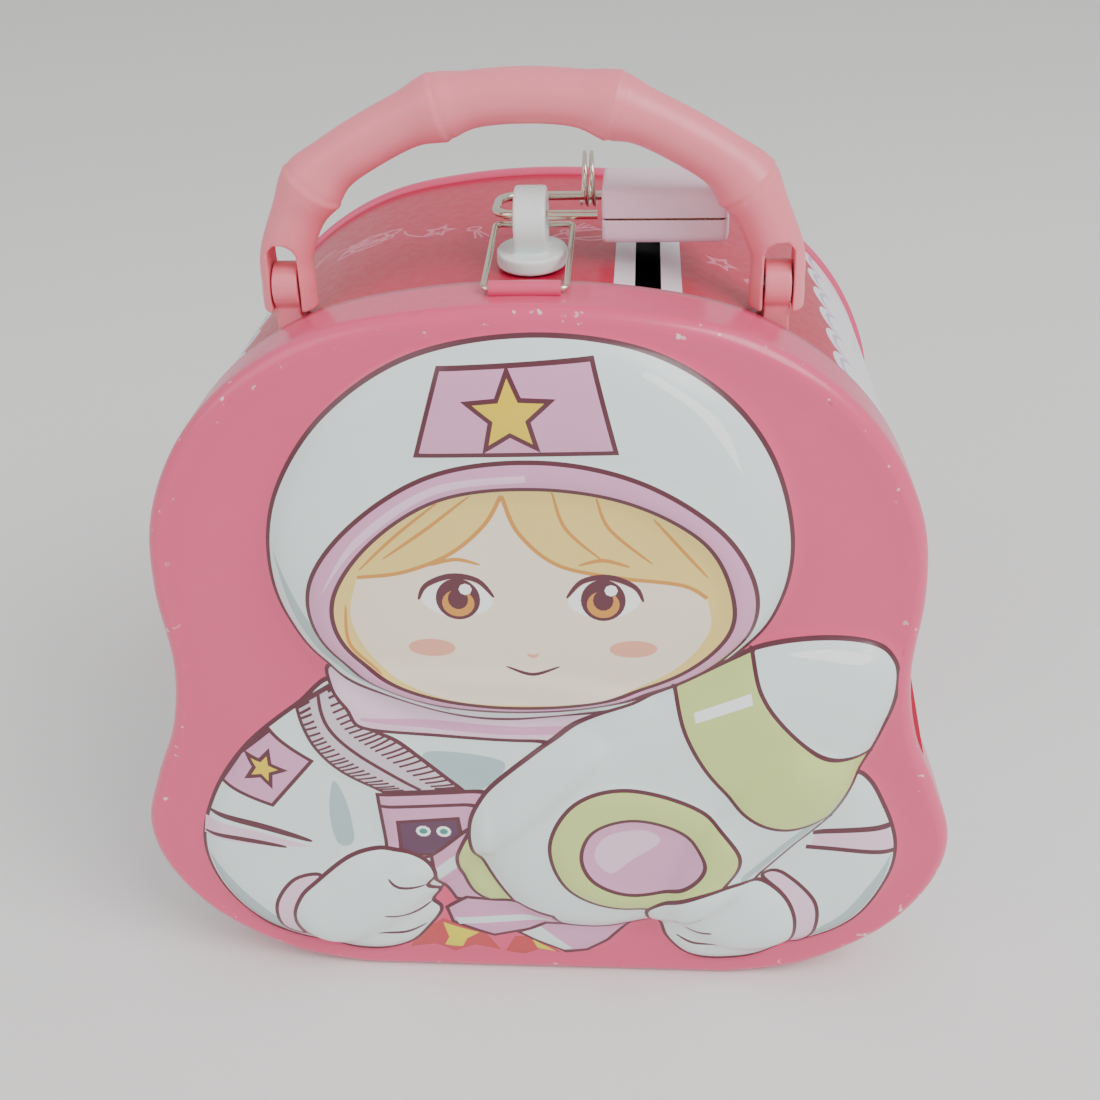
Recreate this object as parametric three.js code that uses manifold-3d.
// Tin money box with a hinged drawn lid, a wire hasp, a small padlock and a bamboo-shaped carrying handle.
// Millimetres. X runs across the box, +Y from the lid to the back, +Z up. The box stands on z = 0.
import * as THREE from 'three';
import { mergeVertices } from 'three/addons/utils/BufferGeometryUtils.js';
import Module from 'manifold-3d';

const wasm = await Module();
wasm.setup();

// ---- Overall sizes ----
const BOX_WIDTH = 150;
const BOX_HEIGHT = 138.5;
const BOX_DEPTH = 82;
const FOOT_WIDTH = 72;
const SHEET = 0.4;
const SEAT_GAP = 0.3;

// ---- Body, lid and back ----
const OUTLINE_POINTS_PER_SPAN = 3;
const LID_FLANGE = 13;
const LID_EDGE_RADIUS = 2.5;
const LID_CLEARANCE = 0.5;
const BAND_SETBACK = 1.2;
const BACK_RIM = 3.5;
const BACK_EDGE_RADIUS = 1.2;
const EDGE_STEPS = 3;

// ---- Coin slot ----
const SLOT_X = 18.9;
const SLOT_WIDTH = 4.2;
const SLOT_LENGTH = 36;
const SLOT_BEHIND_LID = 1.2;

// ---- Lid hinge ----
const HINGE_PIN_RADIUS = 0.55;
const HINGE_BORE_RADIUS = 0.8;
const KNUCKLE_RADIUS = 1.25;
const KNUCKLE_LENGTH = 11;
const KNUCKLE_COUNT = 5;
const KNUCKLE_GAP = 0.4;
const HINGE_BEHIND_LID = 1.4;

// ---- Hasp bail and its curl on the lid ----
const BAIL_WIRE_RADIUS = 0.5;
const CURL_BORE_RADIUS = 0.7;
const CURL_RADIUS = 1.25;
const CURL_LENGTH = 11.2;
const CURL_BEFORE_LID_EDGE = 6.5;
const CURL_RISE = 0.85;
const BAIL_BEND = 0.9;
const BAIL_BAR_RISE = 1.2;
const BAIL_PIVOT_END = 1.2;

// ---- Staple ----
const STAPLE_BASE_X = 11.6;
const STAPLE_BASE_Y = 15;
const STAPLE_BASE_HEIGHT = 2.5;
const STAPLE_BEHIND_LID = 2.7;
const STAPLE_RING_RADIUS = 5.5;
const STAPLE_HOLE_RADIUS = 2.9;
const STAPLE_RING_THICKNESS = 5.2;
const STAPLE_RING_SINK = 0.9;
const STAPLE_STEM_RADIUS = 2;
const WASHER_THICKNESS = 1;
const WASHER_RADIUS = 5;
const STEM_HEAD_EXTRA = 1;
const STEM_HEAD_HEIGHT = 0.9;

// ---- Handle ----
const LUG_X = 39.3;
const LUG_FROM_FRONT = 17.3;
const LUG_THICKNESS = 4.1;
const LUG_HEAD_RADIUS = 3.9;
const LUG_NECK_DEPTH = 5.2;
const LUG_STEM_DEPTH = 6;
const LUG_WASHER_WIDTH = 7.4;
const LUG_WASHER_DEPTH = 10.2;
const HANDLE_RADIUS = 4.2;
const HANDLE_RISE = 29.5;
const HANDLE_PIN_RADIUS = 1;
const FORK_END_RADIUS = 3.7;
const FORK_SIDE_GAP = 0.3;
const FORK_SLOT_TOP = 7.6;
const NODE_BULGE = 0.7;
const NODE_HALF_WIDTH = 1.1;
const NODE_FOOT = 0.4;

// ---- Padlock ----
const SHACKLE_RADIUS = 0.75;
const SHACKLE_SPACING = 11;
const SHACKLE_IN_HOLE = 1;
const SHACKLE_ABOVE_HOLE_MIDDLE = 0.5;
const SHACKLE_LEFT_X = -6;
const SHACKLE_BEND = 3.5;
const NOTCH_DEPTH = 0.56;
const SHACKLE_TIP_GAP = 0.7;
const SHACKLE_TRAVEL = 4;
const SHACKLE_BORE_GAP = 0.3;
const LONG_LEG_IN_CASE = 9;
const CASE_LEFT_X = 11.4;
const CASE_LENGTH = 20;
const CASE_DEPTH = 14.6;
const CASE_HEIGHT = 9;
const CASE_CORNER = 1.5;
const CASE_CORNER_LEAST = 0.4;
const COVER_END_EDGE = 0.6;
const COVER_WALL = 0.6;
const COVER_SEAM_HEIGHT = 4.1;
const SEAM_GAP = 0.3;
const PLUG_RADIUS = 2.2;
const PLUG_LENGTH = 9;
const PLUG_FORWARD = 1;
const KEYWAY_WIDTH = 0.7;
const KEYWAY_HEIGHT = 2.6;
const KEYWAY_DEPTH = 6;
const LATCH_WIDTH = 1;
const LATCH_LENGTH = 2.4;
const LATCH_THROW = 0.7;
const LATCH_FROM_FACE = 2.2;

// ---- Split ring ----
const SPLIT_RING_INNER = 3.9;
const SPLIT_WIRE_RADIUS = 0.35;
const SPLIT_RING_PITCH = 1.2;
const SPLIT_RING_TURNS = 2;
const SPLIT_RING_FROM_CASE = 1;

// ---- Facets ----
const ROUND = 20;
const WIRE_SIDES = 8;
const HANDLE_SIDES = 16;
const HANDLE_STEPS = 32;
const WIRE_STEPS = 48;
const SHACKLE_SIDES = 12;
const SHACKLE_STEPS = 36;
const PIN_SIDES = 12;
const FINE_ROUND = 28;
const HEAD_ROUND = 24;
const SPLIT_WIRE_SIDES = 6;
const SPLIT_POINTS_PER_TURN = 16;
const CORNER_SEGMENTS = 2;
const QUARTER_BEND_HANDLE = 0.5523;
const SHOULDER_LEVEL = 0.6;
const MERGE_DISTANCE = 1e-4;
const OVERCUT = 2;

// ---- Places worked out from the sizes ----
const FRONT_Y = -BOX_DEPTH / 2;
const BACK_Y = BOX_DEPTH / 2;
const FLANGE_REAR_Y = FRONT_Y + LID_FLANGE;
const BAND_INSET = SHEET + LID_CLEARANCE;
const BAND_TOP_Z = BOX_HEIGHT - BAND_INSET;

function finish(color, roughness, metalness) {
  return new THREE.MeshStandardMaterial({ color, roughness, metalness });
}

const TIN_PINK = finish(0xd96a86, 0.35, 0.3);
const TIN_ROSE = finish(0xc94a62, 0.38, 0.3);
const HANDLE_PINK = finish(0xefa0a8, 0.4, 0);
const WHITE_PLASTIC = finish(0xdfeeea, 0.35, 0);
const LILAC_PLASTIC = finish(0xe6cfdd, 0.4, 0);
const NICKEL = finish(0xc9c2ae, 0.25, 1);
const STEEL = finish(0xa9a9a6, 0.35, 1);
const BRASS = finish(0xc2a35a, 0.3, 1);

const group = new THREE.Group();

// ---- Solid helpers ----
function solid(geometry) {
  const bare = geometry.clone();
  bare.deleteAttribute('normal');
  bare.deleteAttribute('uv');
  const merged = mergeVertices(bare, MERGE_DISTANCE);
  return new wasm.Manifold(new wasm.Mesh({
    numProp: 3,
    vertProperties: new Float32Array(merged.attributes.position.array),
    triVerts: new Uint32Array(merged.index.array),
  }));
}

function addPart(name, body, material) {
  const mesh = body.getMesh();
  const geometry = new THREE.BufferGeometry();
  geometry.setAttribute('position', new THREE.BufferAttribute(new Float32Array(mesh.vertProperties), 3));
  geometry.setIndex(new THREE.BufferAttribute(new Uint32Array(mesh.triVerts), 1));
  geometry.computeVertexNormals();
  const part = new THREE.Mesh(geometry, material);
  part.name = name;
  group.add(part);
}

function block(x0, x1, y0, y1, z0, z1) {
  const geometry = new THREE.BoxGeometry(x1 - x0, y1 - y0, z1 - z0);
  return solid(geometry.translate((x0 + x1) / 2, (y0 + y1) / 2, (z0 + z1) / 2));
}

function rodX(radius, x0, x1, y, z, sides = ROUND) {
  const geometry = new THREE.CylinderGeometry(radius, radius, x1 - x0, sides);
  return solid(geometry.rotateZ(Math.PI / 2).translate((x0 + x1) / 2, y, z));
}

function rodY(radius, y0, y1, x, z, sides = ROUND) {
  const geometry = new THREE.CylinderGeometry(radius, radius, y1 - y0, sides);
  return solid(geometry.translate(x, (y0 + y1) / 2, z));
}

function rodZ(radius, z0, z1, x, y, sides = ROUND) {
  const geometry = new THREE.CylinderGeometry(radius, radius, z1 - z0, sides);
  return solid(geometry.rotateX(Math.PI / 2).translate(x, y, (z0 + z1) / 2));
}

// A prism whose section lies in X and Z, from y0 back to y1, with optional rounded ends.
function prismY(points, y0, y1, edge = 0) {
  const options = {
    depth: y1 - y0 - 2 * edge,
    steps: 1,
    bevelEnabled: edge > 0,
    bevelThickness: edge,
    bevelSize: edge,
    bevelOffset: -edge,
    bevelSegments: EDGE_STEPS,
  };
  const geometry = new THREE.ExtrudeGeometry(new THREE.Shape(points), options);
  return solid(geometry.rotateX(Math.PI / 2).translate(0, y1 - edge, 0));
}

function wire(curve, radius, steps, sides = WIRE_SIDES) {
  const section = new THREE.Shape();
  section.absarc(0, 0, radius, 0, Math.PI * 2, false);
  const options = { steps, curveSegments: sides / 2, extrudePath: curve, bevelEnabled: false };
  return solid(new THREE.ExtrudeGeometry(section, options));
}

// A path of straight runs whose corners are quarter-round bends.
function bentPath(corners, bend) {
  const path = new THREE.CurvePath();
  let last = corners[0];
  for (let i = 1; i < corners.length - 1; i += 1) {
    const before = corners[i].clone().lerp(corners[i - 1], bend / corners[i].distanceTo(corners[i - 1]));
    const after = corners[i].clone().lerp(corners[i + 1], bend / corners[i].distanceTo(corners[i + 1]));
    const first = before.clone().lerp(corners[i], QUARTER_BEND_HANDLE);
    const second = after.clone().lerp(corners[i], QUARTER_BEND_HANDLE);
    path.add(new THREE.LineCurve3(last, before));
    path.add(new THREE.CubicBezierCurve3(before, first, second, after));
    last = after;
  }
  path.add(new THREE.LineCurve3(last, corners[corners.length - 1]));
  return path;
}

// ---- Outline of the box, seen from the front ----
// Shares of half the width and of the height, from the crown down to the flat foot.
const OUTLINE_SHAPE = [
  [0, 1], [0.227, 0.992], [0.44, 0.967], [0.62, 0.913], [0.76, 0.834], [0.848, 0.736],
  [0.872, 0.635], [0.861, 0.52], [0.891, 0.422], [0.955, 0.336], [1, 0.253], [0.968, 0.17],
  [0.86, 0.088], [0.673, 0.023],
];

function outlineCurve() {
  const half = OUTLINE_SHAPE.map(([x, z]) => new THREE.Vector2(x * BOX_WIDTH / 2, z * BOX_HEIGHT));
  half.push(new THREE.Vector2(FOOT_WIDTH / 2, 0));
  const mirrored = half.slice(1).reverse().map((p) => new THREE.Vector2(-p.x, p.y));
  return new THREE.SplineCurve([...mirrored, ...half]);
}

const OUTLINE = outlineCurve();
const OUTLINE_COUNT = OUTLINE_SHAPE.length * 2 * OUTLINE_POINTS_PER_SPAN;

function outlinePoint(t, inset) {
  const at = OUTLINE.getPoint(t);
  const ahead = OUTLINE.getTangent(t);
  const flat = t === 0 || t === 1;
  const normal = flat ? new THREE.Vector2(0, -1) : new THREE.Vector2(-ahead.y, ahead.x);
  return at.addScaledVector(normal, -inset);
}

function outline(inset) {
  const points = [];
  for (let i = 0; i <= OUTLINE_COUNT; i += 1) points.push(outlinePoint(i / OUTLINE_COUNT, inset));
  return points.map((p) => new THREE.Vector2(p.x, Math.max(p.y, inset)));
}

// The outer skin of the body above the shoulders, at a distance x from the middle.
function topSurface(x, inset) {
  const points = outline(inset).filter((p) => p.y > BOX_HEIGHT * SHOULDER_LEVEL);
  const next = points.findIndex((p) => p.x >= x);
  const [a, b] = [points[next - 1], points[next]];
  const share = (x - a.x) / (b.x - a.x);
  return { z: a.y + (b.y - a.y) * share, slope: Math.atan2(b.y - a.y, b.x - a.x) };
}

// ---- Hinge line ----
const HINGE_Y = FLANGE_REAR_Y + HINGE_BEHIND_LID;
const HINGE_Z = KNUCKLE_RADIUS;
const HINGE_LENGTH = KNUCKLE_COUNT * KNUCKLE_LENGTH;

function knuckleSpans(first) {
  const spans = [];
  for (let i = first; i < KNUCKLE_COUNT; i += 2) {
    const start = (i - KNUCKLE_COUNT / 2) * KNUCKLE_LENGTH;
    spans.push([start + KNUCKLE_GAP / 2, start + KNUCKLE_LENGTH - KNUCKLE_GAP / 2]);
  }
  return spans;
}

const BODY_KNUCKLES = knuckleSpans(0);
const LID_KNUCKLES = knuckleSpans(1);
const HINGE_END = HINGE_LENGTH / 2;

function hingeBore() {
  const reach = HINGE_END + SEAT_GAP;
  return rodX(HINGE_BORE_RADIUS, -reach, reach, HINGE_Y, HINGE_Z);
}

// ---- Staple, its place and the padlock's line ----
const STAPLE_Y = FLANGE_REAR_Y + STAPLE_BEHIND_LID + STAPLE_BASE_Y / 2;
const STAPLE_BASE_Z = BAND_TOP_Z + SEAT_GAP;
const STAPLE_BASE_TOP = STAPLE_BASE_Z + STAPLE_BASE_HEIGHT;
const STAPLE_RING_Z = STAPLE_BASE_TOP + STAPLE_RING_RADIUS - STAPLE_RING_SINK;
const STEM_HOLE_RADIUS = STAPLE_STEM_RADIUS + SEAT_GAP;

// ---- Handle's line ----
const LUG_Y = FRONT_Y + LUG_FROM_FRONT;
const FORK_INNER_X = LUG_X - HANDLE_RADIUS;
const LUG_Z = topSurface(FORK_INNER_X, BAND_INSET).z + FORK_END_RADIUS + 2 * SEAT_GAP;
const LUG_SURFACE = topSurface(LUG_X, BAND_INSET);
const LUG_HOLE_X = LUG_THICKNESS / 2 + SEAT_GAP;
const LUG_HOLE_Y = LUG_NECK_DEPTH / 2 + SEAT_GAP;

// ---- Side band ----
const BAND_FRONT_Y = FRONT_Y + LID_EDGE_RADIUS + BAND_SETBACK;
const BAND_REAR_Y = BACK_Y - BACK_EDGE_RADIUS - SHEET / 2;
const SLOT_FRONT_Y = FLANGE_REAR_Y + SLOT_BEHIND_LID;

function sideBand() {
  let band = prismY(outline(BAND_INSET), BAND_FRONT_Y, BAND_REAR_Y);
  const hollow = prismY(outline(BAND_INSET + SHEET), BAND_FRONT_Y - OVERCUT, BAND_REAR_Y + OVERCUT);
  band = band.subtract(hollow);
  const above = BOX_HEIGHT + OVERCUT;
  const inside = BOX_HEIGHT * SHOULDER_LEVEL;
  band = band.subtract(block(
    SLOT_X - SLOT_WIDTH / 2, SLOT_X + SLOT_WIDTH / 2, SLOT_FRONT_Y, SLOT_FRONT_Y + SLOT_LENGTH, inside, above,
  ));
  band = band.subtract(rodZ(STEM_HOLE_RADIUS, inside, above, 0, STAPLE_Y));
  for (const x of [-LUG_X, LUG_X]) {
    band = band.subtract(block(
      x - LUG_HOLE_X, x + LUG_HOLE_X, LUG_Y - LUG_HOLE_Y, LUG_Y + LUG_HOLE_Y, inside, above,
    ));
  }
  for (const [x0, x1] of LID_KNUCKLES) {
    const reach = KNUCKLE_RADIUS + KNUCKLE_GAP;
    band = band.subtract(block(
      x0 - KNUCKLE_GAP, x1 + KNUCKLE_GAP, HINGE_Y - reach, HINGE_Y + reach, 0, HINGE_Z + reach,
    ));
  }
  for (const [x0, x1] of BODY_KNUCKLES) band = band.add(rodX(KNUCKLE_RADIUS, x0, x1, HINGE_Y, HINGE_Z));
  return band.subtract(hingeBore());
}

function hingePin() {
  return rodX(HINGE_PIN_RADIUS, -HINGE_END, HINGE_END, HINGE_Y, HINGE_Z, PIN_SIDES);
}

// ---- Lid: a drawn panel with a rounded edge, a flange, hinge knuckles and the hasp curl ----
const CURL_Y = FLANGE_REAR_Y - CURL_BEFORE_LID_EDGE;
const CURL_Z = BOX_HEIGHT + CURL_RISE;

function lid() {
  const rear = FLANGE_REAR_Y + 2 * LID_FLANGE;
  let shell = prismY(outline(0), FRONT_Y, rear, LID_EDGE_RADIUS);
  shell = shell.subtract(prismY(outline(SHEET), FRONT_Y + SHEET, rear, LID_EDGE_RADIUS - SHEET));
  shell = shell.subtract(block(
    -BOX_WIDTH, BOX_WIDTH, FLANGE_REAR_Y, rear + OVERCUT, -OVERCUT, BOX_HEIGHT + OVERCUT,
  ));
  const curl = rodX(CURL_RADIUS, -CURL_LENGTH / 2, CURL_LENGTH / 2, CURL_Y, CURL_Z);
  shell = shell.add(curl.subtract(prismY(outline(SHEET), FRONT_Y + LID_EDGE_RADIUS, rear)));
  for (const [x0, x1] of LID_KNUCKLES) {
    shell = shell.add(block(x0, x1, FLANGE_REAR_Y - SHEET, HINGE_Y, 0, SHEET));
    shell = shell.add(rodX(KNUCKLE_RADIUS, x0, x1, HINGE_Y, HINGE_Z));
  }
  shell = shell.subtract(hingeBore());
  return shell.subtract(rodX(CURL_BORE_RADIUS, -CURL_LENGTH, CURL_LENGTH, CURL_Y, CURL_Z));
}

// ---- Back: a shallow pressed panel whose rim wraps the body ----
function backPanel() {
  const front = BACK_Y - 2 * BACK_RIM;
  let pan = prismY(outline(0), front, BACK_Y, BACK_EDGE_RADIUS);
  pan = pan.subtract(prismY(outline(SHEET), front, BACK_Y - SHEET, BACK_EDGE_RADIUS - SHEET));
  return pan.subtract(block(
    -BOX_WIDTH, BOX_WIDTH, front - OVERCUT, BACK_Y - BACK_RIM, -OVERCUT, BOX_HEIGHT + OVERCUT,
  ));
}

// ---- Staple: oval base, ring across the box and a stem headed over inside ----
function ovalZ(width, depth, z0, z1, x, y) {
  const geometry = new THREE.CylinderGeometry(0.5, 0.5, z1 - z0, FINE_ROUND);
  return solid(geometry.rotateX(Math.PI / 2).scale(width, depth, 1).translate(x, y, (z0 + z1) / 2));
}

const STEM_HEAD_TOP = BAND_TOP_Z - SHEET - 2 * SEAT_GAP - WASHER_THICKNESS;

function staple() {
  const halfRing = STAPLE_RING_THICKNESS / 2;
  let body = ovalZ(STAPLE_BASE_X, STAPLE_BASE_Y, STAPLE_BASE_Z, STAPLE_BASE_TOP, 0, STAPLE_Y);
  body = body.add(rodX(STAPLE_RING_RADIUS, -halfRing, halfRing, STAPLE_Y, STAPLE_RING_Z, FINE_ROUND));
  body = body.subtract(rodX(STAPLE_HOLE_RADIUS, -BOX_WIDTH, BOX_WIDTH, STAPLE_Y, STAPLE_RING_Z));
  const foot = STEM_HEAD_TOP - STEM_HEAD_HEIGHT;
  body = body.add(rodZ(STAPLE_STEM_RADIUS, foot, STAPLE_BASE_Z + SEAT_GAP, 0, STAPLE_Y));
  const headRadius = STEM_HOLE_RADIUS + STEM_HEAD_EXTRA;
  return body.add(rodZ(headRadius, foot, STEM_HEAD_TOP, 0, STAPLE_Y));
}

function stapleWasher() {
  const top = BAND_TOP_Z - SHEET - SEAT_GAP;
  const disc = rodZ(WASHER_RADIUS, top - WASHER_THICKNESS, top, 0, STAPLE_Y);
  return disc.subtract(rodZ(STEM_HOLE_RADIUS, top - WASHER_RADIUS, top + OVERCUT, 0, STAPLE_Y));
}

// ---- Handle lugs: a round head bored for the pin, on a neck that passes through the band ----
function lug(side) {
  const x = side * LUG_X;
  const half = LUG_THICKNESS / 2;
  const neck = LUG_NECK_DEPTH / 2;
  const foot = LUG_SURFACE.z - LUG_STEM_DEPTH;
  let body = rodX(LUG_HEAD_RADIUS, x - half, x + half, LUG_Y, LUG_Z, HEAD_ROUND);
  body = body.add(block(x - half, x + half, LUG_Y - neck, LUG_Y + neck, foot, LUG_Z));
  const tail = neck + 2 * SEAT_GAP + STEM_HEAD_EXTRA;
  body = body.add(block(x - half, x + half, LUG_Y - tail, LUG_Y + tail, foot, foot + STEM_HEAD_HEIGHT));
  return body.subtract(rodX(HANDLE_PIN_RADIUS + SEAT_GAP, x - LUG_X, x + LUG_X, LUG_Y, LUG_Z));
}

// A plate under the band at each lug, laid along the slope of the shoulder.
function lugWasher(side) {
  const geometry = new THREE.BoxGeometry(LUG_WASHER_WIDTH, LUG_WASHER_DEPTH, WASHER_THICKNESS);
  const drop = SHEET + 1.5 * SEAT_GAP + WASHER_THICKNESS / 2;
  geometry.rotateY(-side * LUG_SURFACE.slope);
  const x = side * (LUG_X + Math.sin(LUG_SURFACE.slope) * drop);
  geometry.translate(x, LUG_Y, LUG_SURFACE.z - Math.cos(LUG_SURFACE.slope) * drop);
  return solid(geometry).subtract(block(
    side * LUG_X - LUG_HOLE_X, side * LUG_X + LUG_HOLE_X, LUG_Y - LUG_HOLE_Y, LUG_Y + LUG_HOLE_Y, 0, LUG_Z,
  ));
}

// ---- Handle: a moulded rod shaped like bent bamboo, forked over each lug ----
const ARCH = [
  [1, 0], [0.985, 0.22], [0.85, 0.56], [0.62, 0.78], [0.32, 0.95], [0, 1],
];
const NODE_PLACES = [0.155, 0.378];

function handleCurve() {
  const half = ARCH.map(([x, z]) => new THREE.Vector3(x * LUG_X, LUG_Y, LUG_Z + z * HANDLE_RISE));
  const mirrored = half.slice(0, -1).reverse().map((p) => new THREE.Vector3(-p.x, p.y, p.z));
  return new THREE.CatmullRomCurve3([...half, ...mirrored], false, 'centripetal');
}

function bambooNode(curve, place) {
  const crest = HANDLE_RADIUS + NODE_BULGE;
  const foot = HANDLE_RADIUS - NODE_FOOT;
  const w = NODE_HALF_WIDTH;
  const profile = [[0, -w], [foot, -w], [crest, -w / 3], [crest, w / 3], [foot, w], [0, w]];
  const geometry = new THREE.LatheGeometry(profile.map(([x, y]) => new THREE.Vector2(x, y)), HANDLE_SIDES);
  const along = curve.getTangentAt(place);
  const turn = new THREE.Quaternion().setFromUnitVectors(new THREE.Vector3(0, 1, 0), along);
  return solid(geometry.applyQuaternion(turn).translate(...curve.getPointAt(place).toArray()));
}

function handle() {
  const curve = handleCurve();
  let body = wire(curve, HANDLE_RADIUS, HANDLE_STEPS, HANDLE_SIDES);
  for (const place of NODE_PLACES) {
    body = body.add(bambooNode(curve, place));
    body = body.add(bambooNode(curve, 1 - place));
  }
  const slotHalf = LUG_THICKNESS / 2 + FORK_SIDE_GAP;
  const slotBend = LUG_Z + FORK_SLOT_TOP - slotHalf;
  const front = LUG_Y - 2 * HANDLE_RADIUS;
  const rear = LUG_Y + 2 * HANDLE_RADIUS;
  for (const side of [-1, 1]) {
    const x = side * LUG_X;
    body = body.add(rodX(FORK_END_RADIUS, x - HANDLE_RADIUS, x + HANDLE_RADIUS, LUG_Y, LUG_Z, HEAD_ROUND));
    body = body.subtract(block(
      x - slotHalf, x + slotHalf, front, rear, LUG_Z - 2 * FORK_END_RADIUS, slotBend,
    ));
    body = body.subtract(rodY(slotHalf, front, rear, x, slotBend));
    body = body.subtract(rodX(HANDLE_PIN_RADIUS + SEAT_GAP, x - LUG_X / 2, x + LUG_X / 2, LUG_Y, LUG_Z));
  }
  return body;
}

function handlePin(side) {
  const x = side * LUG_X;
  const reach = HANDLE_RADIUS - SEAT_GAP;
  return rodX(HANDLE_PIN_RADIUS, x - reach, x + reach, LUG_Y, LUG_Z, PIN_SIDES);
}

// ---- Hasp bail: a bent wire, hinged in the lid's curl, lying round the staple ring ----
const BAIL_X = STAPLE_BASE_X / 2 + BAIL_WIRE_RADIUS + SEAT_GAP / 2;
const BAIL_BAR_Y = STAPLE_Y + STAPLE_RING_RADIUS + BAIL_WIRE_RADIUS + SEAT_GAP;
const BAIL_BAR_Z = STAPLE_BASE_TOP + BAIL_WIRE_RADIUS + SEAT_GAP + BAIL_BAR_RISE;

function haspBail() {
  const pivot = (x) => new THREE.Vector3(x, CURL_Y, CURL_Z);
  const bar = (x) => new THREE.Vector3(x, BAIL_BAR_Y, BAIL_BAR_Z);
  const corners = [
    pivot(-BAIL_PIVOT_END), pivot(-BAIL_X), bar(-BAIL_X),
    bar(BAIL_X), pivot(BAIL_X), pivot(BAIL_PIVOT_END),
  ];
  return wire(bentPath(corners, BAIL_BEND), BAIL_WIRE_RADIUS, WIRE_STEPS);
}

// ---- Padlock ----
const SHORT_LEG_Y = STAPLE_Y + SHACKLE_IN_HOLE;
const LONG_LEG_Y = SHORT_LEG_Y + SHACKLE_SPACING;
const SHACKLE_Z = STAPLE_RING_Z + SHACKLE_ABOVE_HOLE_MIDDLE;
const CASE_Z0 = SHACKLE_Z - CASE_HEIGHT / 2;
const CASE_MID_Y = (SHORT_LEG_Y + LONG_LEG_Y) / 2;
const CASE_RIGHT_X = CASE_LEFT_X + CASE_LENGTH;
const SHORT_TIP_X = CASE_LEFT_X - SHACKLE_TIP_GAP;
const LONG_TIP_X = CASE_LEFT_X + LONG_LEG_IN_CASE;
const BORE_RADIUS = SHACKLE_RADIUS + SHACKLE_BORE_GAP;
const LATCH_X = CASE_LEFT_X + LATCH_FROM_FACE;

function shackle() {
  const at = (x, y) => new THREE.Vector3(x, y, SHACKLE_Z);
  const corners = [
    at(SHORT_TIP_X, SHORT_LEG_Y), at(SHACKLE_LEFT_X, SHORT_LEG_Y),
    at(SHACKLE_LEFT_X, LONG_LEG_Y), at(LONG_TIP_X, LONG_LEG_Y),
  ];
  const body = wire(bentPath(corners, SHACKLE_BEND), SHACKLE_RADIUS, SHACKLE_STEPS, SHACKLE_SIDES);
  const notchX = LATCH_X - SHACKLE_TRAVEL;
  const notchHalf = LATCH_WIDTH / 2 + SEAT_GAP;
  const notchY = SHORT_LEG_Y + SHACKLE_RADIUS - NOTCH_DEPTH;
  return body.subtract(block(
    notchX - notchHalf, notchX + notchHalf, notchY, SHORT_LEG_Y + 2 * SHACKLE_RADIUS,
    SHACKLE_Z - 2 * SHACKLE_RADIUS, SHACKLE_Z + 2 * SHACKLE_RADIUS,
  ));
}

// The section of the case lies in Y and Z and runs along X.
function caseBlock(x0, x1, wall, edge) {
  const w = CASE_DEPTH / 2 - wall;
  const h = CASE_HEIGHT / 2 - wall;
  const r = Math.max(CASE_CORNER - wall, CASE_CORNER_LEAST);
  const shape = new THREE.Shape();
  shape.absarc(w - r, h - r, r, 0, Math.PI / 2, false);
  shape.absarc(-w + r, h - r, r, Math.PI / 2, Math.PI, false);
  shape.absarc(-w + r, -h + r, r, Math.PI, Math.PI * 1.5, false);
  shape.absarc(w - r, -h + r, r, Math.PI * 1.5, Math.PI * 2, false);
  const options = {
    depth: x1 - x0 - 2 * edge,
    steps: 1,
    curveSegments: CORNER_SEGMENTS,
    bevelEnabled: edge > 0,
    bevelThickness: edge,
    bevelSize: edge,
    bevelOffset: -edge,
    bevelSegments: CORNER_SEGMENTS,
  };
  const geometry = new THREE.ExtrudeGeometry(shape, options);
  geometry.rotateX(Math.PI / 2).rotateZ(Math.PI / 2);
  return solid(geometry.translate(x0 + edge, CASE_MID_Y, SHACKLE_Z));
}

const BORE_START_X = CASE_LEFT_X - OVERCUT;
const PLUG_Y = CASE_MID_Y - PLUG_FORWARD;
const PLUG_X = CASE_RIGHT_X - PLUG_LENGTH;

function legBore(tipX, y, reach) {
  return rodX(BORE_RADIUS, BORE_START_X, tipX + reach, y, SHACKLE_Z);
}

function plugBore() {
  const end = CASE_RIGHT_X + OVERCUT;
  return rodX(PLUG_RADIUS + SEAT_GAP, PLUG_X - SEAT_GAP, end, PLUG_Y, SHACKLE_Z);
}

function lockBody() {
  const inner = COVER_WALL + SEAT_GAP;
  let body = caseBlock(CASE_LEFT_X + inner, CASE_RIGHT_X - inner, inner, 0);
  const reach = SHACKLE_TRAVEL + SEAT_GAP;
  body = body.subtract(legBore(SHORT_TIP_X, SHORT_LEG_Y, reach));
  body = body.subtract(legBore(LONG_TIP_X, LONG_LEG_Y, reach));
  body = body.subtract(plugBore());
  const half = LATCH_WIDTH / 2 + SEAT_GAP;
  const depth = LATCH_THROW + LATCH_LENGTH + 2 * SEAT_GAP;
  return body.subtract(block(
    LATCH_X - half, LATCH_X + half, SHORT_LEG_Y, SHORT_LEG_Y + SHACKLE_RADIUS + depth,
    SHACKLE_Z - half, SHACKLE_Z + half,
  ));
}

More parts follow.
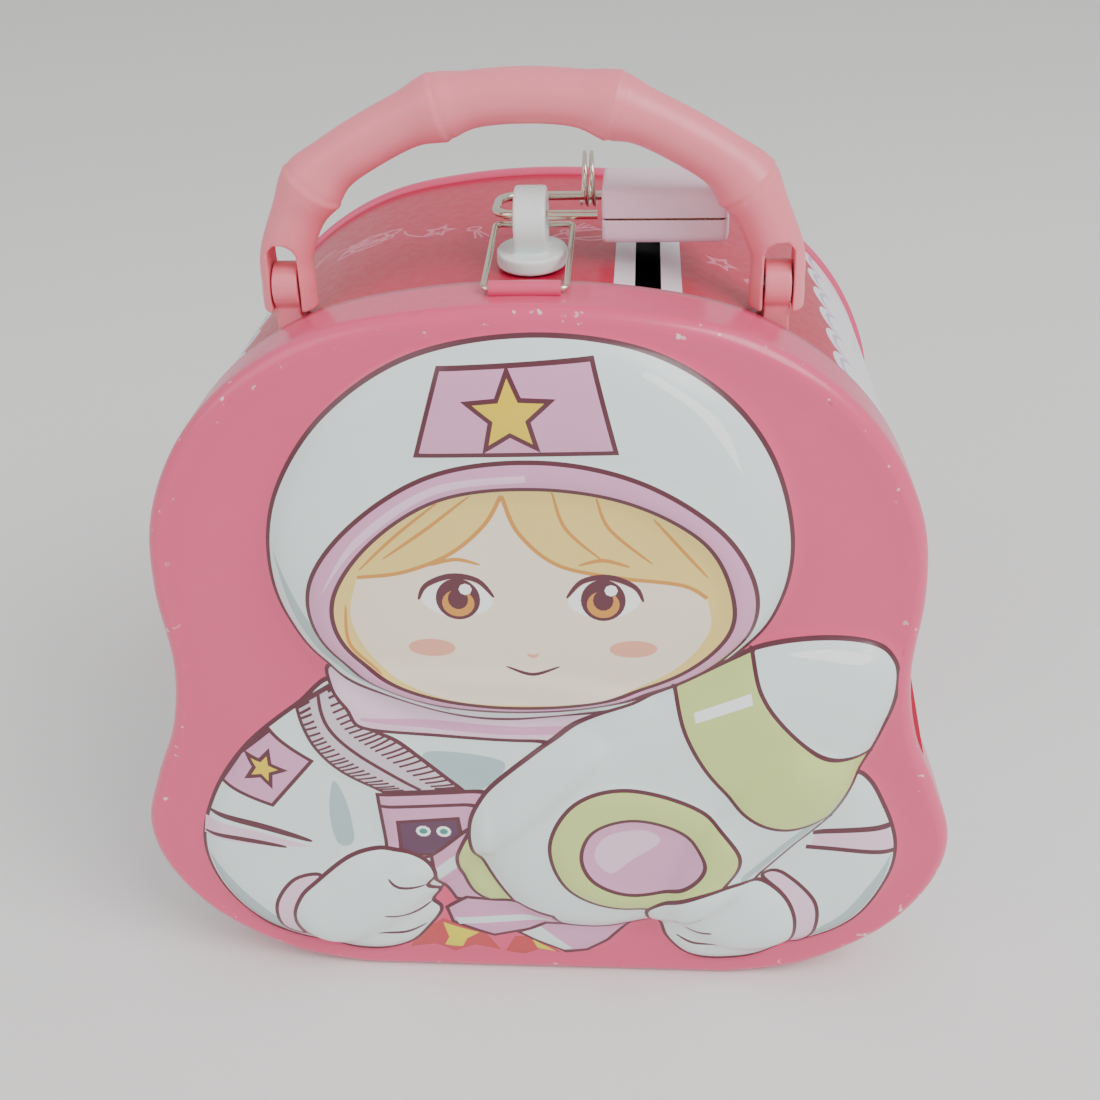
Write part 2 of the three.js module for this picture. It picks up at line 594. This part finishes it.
function lockCover(upper) {
  const inner = caseBlock(CASE_LEFT_X + COVER_WALL, CASE_RIGHT_X - COVER_WALL, COVER_WALL, 0);
  let shell = caseBlock(CASE_LEFT_X, CASE_RIGHT_X, 0, COVER_END_EDGE).subtract(inner);
  shell = shell.subtract(legBore(SHORT_TIP_X, SHORT_LEG_Y, SHACKLE_TRAVEL));
  shell = shell.subtract(legBore(LONG_TIP_X, LONG_LEG_Y, 0));
  shell = shell.subtract(plugBore());
  const seam = CASE_Z0 + COVER_SEAM_HEIGHT;
  const low = upper ? CASE_Z0 - OVERCUT : seam - SEAM_GAP / 2;
  const high = upper ? seam + SEAM_GAP / 2 : CASE_Z0 + CASE_HEIGHT + OVERCUT;
  return shell.subtract(block(
    CASE_LEFT_X - OVERCUT, CASE_RIGHT_X + OVERCUT,
    CASE_MID_Y - CASE_DEPTH, CASE_MID_Y + CASE_DEPTH, low, high,
  ));
}

function keyPlug() {
  const body = rodX(PLUG_RADIUS, PLUG_X, CASE_RIGHT_X + SEAT_GAP, PLUG_Y, SHACKLE_Z);
  return body.subtract(block(
    CASE_RIGHT_X - KEYWAY_DEPTH, CASE_RIGHT_X + OVERCUT,
    PLUG_Y - KEYWAY_WIDTH / 2, PLUG_Y + KEYWAY_WIDTH / 2,
    SHACKLE_Z - KEYWAY_HEIGHT / 2, SHACKLE_Z + KEYWAY_HEIGHT / 2,
  ));
}

function latchBolt() {
  const half = LATCH_WIDTH / 2;
  const tip = SHORT_LEG_Y + SHACKLE_RADIUS + SEAT_GAP;
  return block(LATCH_X - half, LATCH_X + half, tip, tip + LATCH_LENGTH, SHACKLE_Z - half, SHACKLE_Z + half);
}

// ---- Split ring: two close turns of wire round the long leg ----
function splitRing() {
  const mean = SPLIT_RING_INNER + SPLIT_WIRE_RADIUS;
  const centreZ = SHACKLE_Z + SPLIT_RING_INNER - SHACKLE_RADIUS - SEAT_GAP;
  const endX = CASE_LEFT_X - SPLIT_RING_FROM_CASE - SPLIT_WIRE_RADIUS;
  const startX = endX - SPLIT_RING_PITCH * SPLIT_RING_TURNS;
  const points = [];
  const count = SPLIT_POINTS_PER_TURN * SPLIT_RING_TURNS;
  for (let i = 0; i <= count; i += 1) {
    const angle = (i / count) * SPLIT_RING_TURNS * Math.PI * 2;
    const x = startX + (endX - startX) * (i / count);
    points.push(new THREE.Vector3(x, LONG_LEG_Y + mean * Math.sin(angle), centreZ + mean * Math.cos(angle)));
  }
  return wire(new THREE.CatmullRomCurve3(points), SPLIT_WIRE_RADIUS, WIRE_STEPS, SPLIT_WIRE_SIDES);
}

addPart('side_band', sideBand(), TIN_ROSE);
addPart('back_panel', backPanel(), TIN_PINK);
addPart('hinge_pin', hingePin(), STEEL);
addPart('staple', staple(), WHITE_PLASTIC);
addPart('staple_washer', stapleWasher(), STEEL);
addPart('lug_left', lug(-1), HANDLE_PINK);
addPart('lug_right', lug(1), HANDLE_PINK);
addPart('lug_washer_left', lugWasher(-1), STEEL);
addPart('lug_washer_right', lugWasher(1), STEEL);
addPart('lid', lid(), TIN_PINK);
addPart('hasp_bail', haspBail(), NICKEL);
addPart('handle', handle(), HANDLE_PINK);
addPart('handle_pin_left', handlePin(-1), STEEL);
addPart('handle_pin_right', handlePin(1), STEEL);
addPart('shackle', shackle(), NICKEL);
addPart('lock_body', lockBody(), BRASS);
addPart('lock_cover_upper', lockCover(true), LILAC_PLASTIC);
addPart('lock_cover_lower', lockCover(false), LILAC_PLASTIC);
addPart('key_plug', keyPlug(), BRASS);
addPart('latch_bolt', latchBolt(), STEEL);
addPart('split_ring', splitRing(), NICKEL);

export default group;
